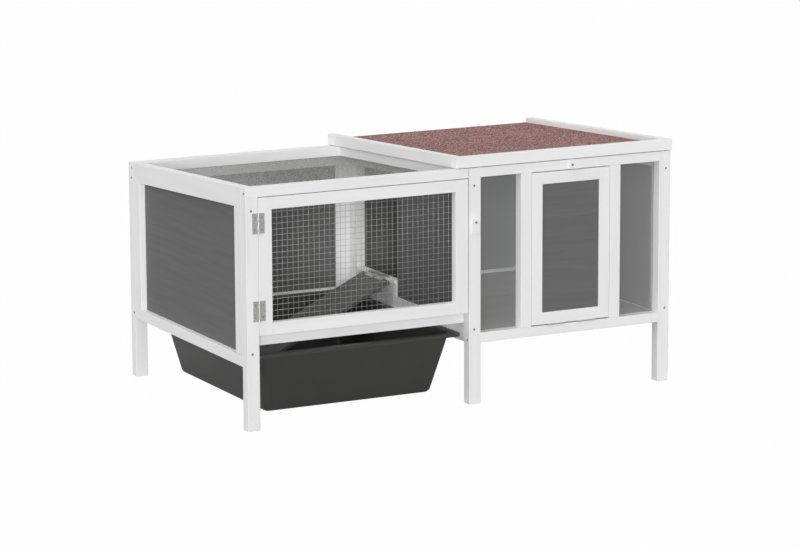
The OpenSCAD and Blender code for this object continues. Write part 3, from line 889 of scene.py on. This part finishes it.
@dataclass
class LitterTub:
    """A slide-in moulded tub with flared walls, a rounded base and a rolled rim.

    Attributes:
        wall_mm: The thickness of its wall.
        rim_mm: The width of its flat rim.
        lip_mm: The depth of the lip that hangs from the rim.
        taper_mm: How far the side walls and the end walls lean in.
        corner_mm: The radius of the outline at the base, the top of the wall and the rim.
        rim_drop_mm: How far the rim's outer edge lies below the top of the wall.
        rounding: The radius in millimetres and the number of faces of the bend at the
            base, at the top of the wall and at the rim's outer edge.
        edge_mm: The rounding of the moulding's own edges.
        arc_faces: The number of faces round each corner.
        flat_mm: How level an edge of an outline lies.
        near_mm: How near an outline lies to its level.
    """

    wall_mm: float = 3.0
    rim_mm: float = 17.0
    lip_mm: float = 8.0
    taper_mm: Pair = (28.0, 47.0)
    corner_mm: Triple = (12.0, 15.0, 10.0)
    rim_drop_mm: float = 0.4
    rounding: tuple[tuple[float, int], ...] = ((8.0, 6), (2.2, 3), (1.6, 3))
    edge_mm: float = 0.5
    arc_faces: int = 8
    flat_mm: float = 0.01
    near_mm: float = 0.05

    def build(self) -> None:
        """Lofts the inner face through four outlines and gives it its wall."""
        low, high = (Vector(corner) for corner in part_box("tub"))
        wall = self.wall_mm * MM
        top = (self.rim_mm + self.wall_mm) * MM
        base, brim, rim = (radius * MM for radius in self.corner_mm)
        rim_top, rim_foot = high.z - self.rim_drop_mm * MM, high.z - self.lip_mm * MM
        levels = (low.z + wall, high.z, rim_top, rim_foot)
        lean_x, lean_y = (top + taper * MM for taper in self.taper_mm)
        insets = ((lean_x, lean_y), (top, top), (0.0, 0.0), (0.0, 0.0))
        rings = [
            self.outline(low, high, inset, level, radius)
            for inset, level, radius in zip(insets, levels, (base, brim, rim, rim))
        ]
        tub = joined("moulded_litter_tub", rings)
        with editing(tub) as mesh:
            for below, above in zip(levels, levels[1:]):
                self.pick_levels(mesh, (below, above))
                bpy.ops.mesh.bridge_edge_loops()
            self.pick_levels(mesh, levels[:1])
            bpy.ops.mesh.edge_face_add()
            for level, (radius_mm, faces) in zip(levels, self.rounding):
                self.pick_levels(mesh, (level,))
                bpy.ops.mesh.bevel(offset=radius_mm * MM, segments=faces, affect="EDGES")
            bpy.ops.mesh.select_all(action="SELECT")
            bpy.ops.mesh.normals_make_consistent(inside=True)
        self.face_inwards(tub)
        apply_modifier(tub, "SOLIDIFY", {"thickness": wall, "offset": -1.0})
        ease_edges(tub, self.edge_mm)
        dress(tub, TUB_PLASTIC, "tub", ("tub",))

    def outline(self, low: Vector, high: Vector, inset: Pair, level: float, radius: float) -> Piece:
        """Draws a rounded rectangle of edges at one level.

        Args:
            low: The tub's lowest corner.
            high: The tub's highest corner.
            inset: How far the outline lies inside the tub's box along X and Y.
            level: The height of the outline.
            radius: The radius of its corners.

        Returns:
            The outline.
        """
        centre = ((low.x + high.x) / 2, (low.y + high.y) / 2, level)
        bpy.ops.mesh.primitive_plane_add(size=1, location=centre)
        ring = bpy.context.object
        ring.scale = (high.x - low.x - 2 * inset[0], high.y - low.y - 2 * inset[1], 1)
        settle(ring)
        with editing(ring):
            bpy.ops.mesh.bevel(offset=radius, segments=self.arc_faces, affect="VERTICES")
            bpy.ops.mesh.select_all(action="SELECT")
            bpy.ops.mesh.delete(type="ONLY_FACE")
        return ring

    def pick_levels(self, mesh: bmesh.types.BMesh, levels: tuple[float, ...]) -> None:
        """Selects the edges that lie flat at one of the levels.

        Args:
            mesh: The tub's edit mesh.
            levels: The heights to select at.
        """
        bpy.ops.mesh.select_all(action="DESELECT")
        bpy.ops.mesh.select_mode(type="EDGE")
        mesh.edges.ensure_lookup_table()
        for edge in mesh.edges:
            heights = [vertex.co.z for vertex in edge.verts]
            flat = abs(heights[0] - heights[1]) < self.flat_mm * MM
            near = any(abs(heights[0] - level) < self.near_mm * MM for level in levels)
            edge.select_set(flat and near)

    def face_inwards(self, tub: Piece) -> None:
        """Turns the shell so that its base faces up, into the tub."""
        base = min(tub.data.polygons, key=lambda face: face.center.z)
        if base.normal.z < 0:
            with editing(tub):
                bpy.ops.mesh.flip_normals()


@dataclass
class Roof:
    """A board under mineral felt, trimmed with timber on three sides."""

    body: str = "roof"

    def build(self) -> None:
        """Dresses the board, the felt, the trims and the hinges."""
        trims = {"roof_trim_front": Grain.ACROSS, "roof_trim_sides": Grain.DEEP}
        joinery = Joinery(self.body, trims)
        joinery.build()
        joinery.board("roof_board", BARE_PLY, PANEL_EASE_MM)
        joinery.board("roof_felt", ROOF_FELT, ease_mm=0.5)
        ButtHinge("roof_hinge_leaves", self.body, Vector((0, 1, 0))).build()


@dataclass
class RunDoor:
    """The run's net-filled door on two butt hinges.

    Attributes:
        body: The body that carries it.
        net_pitch_mm: The spacing of the net's wires.
        wire_mm: The thickness of its wire.
    """

    body: str = "run_door"
    net_pitch_mm: float = 13.15
    wire_mm: float = 0.9

    def build(self) -> None:
        """Dresses the door's frame, its net and its hinge leaves."""
        Joinery(self.body, {"door_stiles": Grain.UPRIGHT, "door_rails": Grain.ACROSS}).build()
        WireNet("door_net", self.body, self.net_pitch_mm, self.wire_mm).build()
        ButtHinge("door_hinge_leaves", self.body, Vector((0, -1, 0))).build()


@dataclass
class FlapDoor:
    """The hutch's drop-down flap with its stained panel."""

    body: str = "flap_door"

    def build(self) -> None:
        """Dresses the flap's frame, its panel and its hinge leaves."""
        timber = {"flap_stiles": Grain.UPRIGHT, "flap_rails": Grain.ACROSS}
        Joinery(self.body, timber, {"flap_panel": Grain.ACROSS}).build()
        ButtHinge("flap_hinge_leaves", self.body, None).build()


@dataclass
class Ramp:
    """The plank that leads down into the tub, on two butt hinges."""

    body: str = "ramp"

    def build(self) -> None:
        """Dresses the plank and its hinge leaves."""
        Joinery(self.body).board("ramp_board", RAMP_STAIN, ease_mm=1.2)
        ButtHinge("ramp_hinge_leaves", self.body, Vector((-0.4, 0, 1))).build()


@dataclass
class TurnButtons:
    """White turn buttons that hold the door and the flap shut."""

    ease_mm: float = 0.3

    def build(self) -> None:
        """Dresses both buttons and drives their screws."""
        paint = white_paint(Grain.UPRIGHT)
        for door in ("door", "flap"):
            Joinery(f"{door}_turn_button").board(f"{door}_button", paint, self.ease_mm)
        screws = CrossHeadScrews("button_screws", Vector((0, -1, 0)))
        heads = screws.drive("heads_button_screws")
        shanks = merged_copy("button_screws", "shanks_button_screws")
        whole = joined("pan_head_button_screws", [heads, shanks])
        dress(whole, SCREW_ZINC, "frame", ("button_screws",))


@dataclass
class MainFrame:
    """The standing frame of the run and the hutch, with all that is fixed to it.

    Attributes:
        top_rail_mm: The depth of the rail that runs down the frame's top.
        top_net_pitch_mm: The spacing of the top net's wires.
        top_wire_mm: The thickness of its wire.
    """

    top_rail_mm: float = 23.0
    top_net_pitch_mm: float = 6.45
    top_wire_mm: float = 0.5

    def build(self) -> None:
        """Dresses the timber, panels, panes, floor, top net, hinges and screws."""
        sides = ("left", "middle", "right")
        upright = [f"leg_{row}_{side}" for side in sides for row in ("front", "rear")]
        upright += ["left_side_stiles", "run_back_stiles", "divider_jamb"]
        upright += ["window_stiles", "right_side_stiles"]
        across = ["run_top_front_rail", "run_top_back_rail", "run_front_bottom_rail"]
        across += ["run_back_bottom_rail", "run_back_upper_rail", "hutch_top_rail"]
        across += ["hutch_bottom_rail", "hutch_back_rails", "floor_battens"]
        deep = ["left_side_rails", "run_top_right_rail", "divider_bottom_rail"]
        deep += ["divider_top_rail", "sill_board", "sill_cap", "tub_runners", "right_side_rails"]
        timber = dict.fromkeys(upright, Grain.UPRIGHT)
        timber |= dict.fromkeys(across, Grain.ACROSS) | dict.fromkeys(deep, Grain.DEEP)
        panels = {
            "left_side_panel": Grain.DEEP,
            "run_back_panel": Grain.ACROSS,
            "divider_panel": Grain.DEEP,
            "hutch_back_panel": Grain.ACROSS,
            "right_side_panel": Grain.DEEP,
        }
        joinery = Joinery("frame", timber, panels)
        joinery.build()
        joinery.board("hutch_floor", FLOOR_STAIN, PANEL_EASE_MM)
        panes = merged_copy("window_panes", "acrylic_window_panes")
        ease_edges(panes, radius_mm=0.3)
        dress(panes, PANE_ACRYLIC, "frame", ("window_panes",))
        net = WireNet("run_top_net", "frame", self.top_net_pitch_mm, self.top_wire_mm, sides=5)
        net.fall, net.finish = self.roof_fall(), TOP_NET_ZINC
        net.build()
        ButtHinge("door_hinge_base", "frame", Vector((0, -1, 0))).build()
        ButtHinge("flap_hinge_base", "frame", None).build()
        ButtHinge("roof_hinge_base", "frame", Vector((0, 1, 0))).build()
        ButtHinge("ramp_hinge_base", "frame", Vector((0, 0, 1))).build()
        screws = CrossHeadScrews("frame_screws", Vector((-1, -1, 0)))
        heads = screws.drive("countersunk_frame_screws")
        dress(heads, SCREW_ZINC, "frame", ("frame_screws",))

    def roof_fall(self) -> float:
        """The slope of the frame's top, from the rail that runs down it."""
        low, high = (Vector(corner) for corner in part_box("run_top_right_rail"))
        return (high.z - low.z - self.top_rail_mm * MM) / (high.y - low.y)


@dataclass
class Studio:
    """A pale floor, soft light and the camera.

    Attributes:
        azimuth: The way the camera looks, turned from straight back towards +X.
        elevation: How far it looks down.
        roll: How far it leans to the left.
        place_mm: Where it stands, from the centre of the hutch's base.
        lens_mm: Its focal length.
        sensor_mm: The width of its sensor.
        reach_m: How far it sees.
        floor_m: The width of the floor.
        floor_share: How much of the light that meets the floor comes back.
        glow_share: How much of the floor's colour is plain white to the camera.
        sky: The strength of the even light from all round.
        gleam: The strength of sky and floor in whatever mirrors them.
        key: The way of the light from the left.
        fill: The way of the light from the front.
        top: The way of the light from above.
        rim: The way of the light from the right and behind.
        softness: The angles that a broad lamp and the front lamp fill, in degrees.
    """

    azimuth: float = 27.39
    elevation: float = 11.13
    roll: float = -0.23
    place_mm: Triple = (-3647.0, -7044.0, 1811.0)
    lens_mm: float = 152.98
    sensor_mm: float = 36.0
    reach_m: float = 200.0
    floor_m: float = 80.0
    floor_share: float = 0.3
    glow_share: float = 0.985
    sky: float = 0.28
    gleam: float = 0.55
    key: Triple = (0.247, 0.07, -0.17)
    fill: Triple = (0.303, 0.585, -0.1)
    top: Triple = (0.06, 0.04, -0.33)
    rim: Triple = (-0.38, -0.2, -0.12)
    softness: Pair = (45.0, 18.0)

    def build(self) -> None:
        """Sets up the view, the floor, the world, the lamps and the camera."""
        scene = bpy.context.scene
        scene.view_settings.view_transform = "Standard"
        self.floor()
        self.world()
        self.lamp("soft_key", self.key, self.softness[0])
        self.lamp("soft_fill", self.fill, self.softness[1])
        self.lamp("soft_top", self.top, self.softness[0])
        self.lamp("soft_rim", self.rim, self.softness[0])
        self.camera()

    def floor(self) -> None:
        """Lays a white floor that the camera sees as white, with a light shadow."""
        bpy.ops.mesh.primitive_plane_add(size=self.floor_m)
        floor = bpy.context.object
        floor.name = "studio_floor"
        made = bpy.data.materials.new("white_studio_floor")
        made.use_nodes = True
        tree = made.node_tree
        tree.nodes.clear()
        grey = (*[self.floor_share] * 3, 1.0)
        matt = add_node(tree, "BsdfDiffuse", {"Color": grey})
        glow = add_node(tree, "Emission", {"Color": (1, 1, 1, 1)})
        path = add_node(tree, "LightPath")
        inputs = {0: (path, "Is Camera Ray"), 1: self.glow_share}
        seen = add_node(tree, "Math", inputs, {"operation": "MULTIPLY"})
        inputs = {0: (path, "Is Glossy Ray"), 1: self.gleam - self.floor_share, 2: (seen, 0)}
        share = add_node(tree, "Math", inputs, WEIGH_AND_ADD)
        inputs = {0: (share, 0), 1: (matt, 0), 2: (glow, 0)}
        mixed = add_node(tree, "MixShader", inputs)
        add_node(tree, "OutputMaterial", {"Surface": (mixed, 0)})
        floor.data.materials.append(made)

    def world(self) -> None:
        """Surrounds the hutch with even white light, white to the camera too."""
        world = bpy.data.worlds.new("soft_box")
        bpy.context.scene.world = world
        world.use_nodes = True
        tree = world.node_tree
        tree.nodes.clear()
        path = add_node(tree, "LightPath")
        inputs = {0: (path, "Is Camera Ray"), 1: (path, "Is Transmission Ray")}
        seen = add_node(tree, "Math", inputs, {"operation": "MAXIMUM"})
        inputs = {"Value": (seen, 0), "To Min": self.sky, "To Max": 1.0}
        level = add_node(tree, "MapRange", inputs)
        inputs = {0: (path, "Is Glossy Ray"), 1: self.gleam - self.sky, 2: (level, 0)}
        bright = add_node(tree, "Math", inputs, WEIGH_AND_ADD)
        inputs = {"Color": (1, 1, 1, 1), "Strength": (bright, 0)}
        sky = add_node(tree, "Background", inputs)
        add_node(tree, "OutputWorld", {"Surface": (sky, 0)})

    def lamp(self, name: str, way: Triple, spread: float) -> None:
        """Hangs one broad soft lamp far off.

        Args:
            name: The lamp's name.
            way: The way that its light goes; its length is the light on a face square to it.
            spread: The angle that it fills, in degrees.
        """
        bpy.ops.object.light_add(type="SUN")
        lamp = bpy.context.object
        lamp.name = name
        lamp.data.energy = Vector(way).length * math.pi
        lamp.data.angle = math.radians(spread)
        lamp.rotation_mode = "QUATERNION"
        lamp.rotation_quaternion = Vector(way).to_track_quat("-Z", "Y")

    def camera(self) -> None:
        """Stands the camera where the photograph was taken from."""
        turn, drop = math.radians(self.azimuth), math.radians(self.elevation)
        level = math.cos(drop)
        ahead = Vector((math.sin(turn) * level, math.cos(turn) * level, -math.sin(drop)))
        right = Vector((math.cos(turn), -math.sin(turn), 0))
        up = right.cross(ahead)
        lean = Matrix.Rotation(math.radians(self.roll), 3, -ahead)
        axes = Matrix((lean @ right, lean @ up, -ahead)).transposed()
        bpy.ops.object.camera_add()
        camera = bpy.context.object
        camera.name = "studio_camera"
        camera.matrix_world = Matrix.Translation(Vector(self.place_mm) * MM) @ axes.to_4x4()
        camera.data.sensor_width = self.sensor_mm
        camera.data.lens = self.lens_mm
        camera.data.clip_end = self.reach_m
        bpy.context.scene.camera = camera


def main() -> None:
    """Loads the frame, dresses each sub-assembly and sets up the studio."""
    logging.basicConfig(level=logging.INFO, format="%(name)s: %(message)s")
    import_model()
    pick()
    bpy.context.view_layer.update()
    MainFrame().build()
    RunDoor().build()
    FlapDoor().build()
    Roof().build()
    LitterTub().build()
    Ramp().build()
    TurnButtons().build()
    Studio().build()


if __name__ == "__main__":
    main()
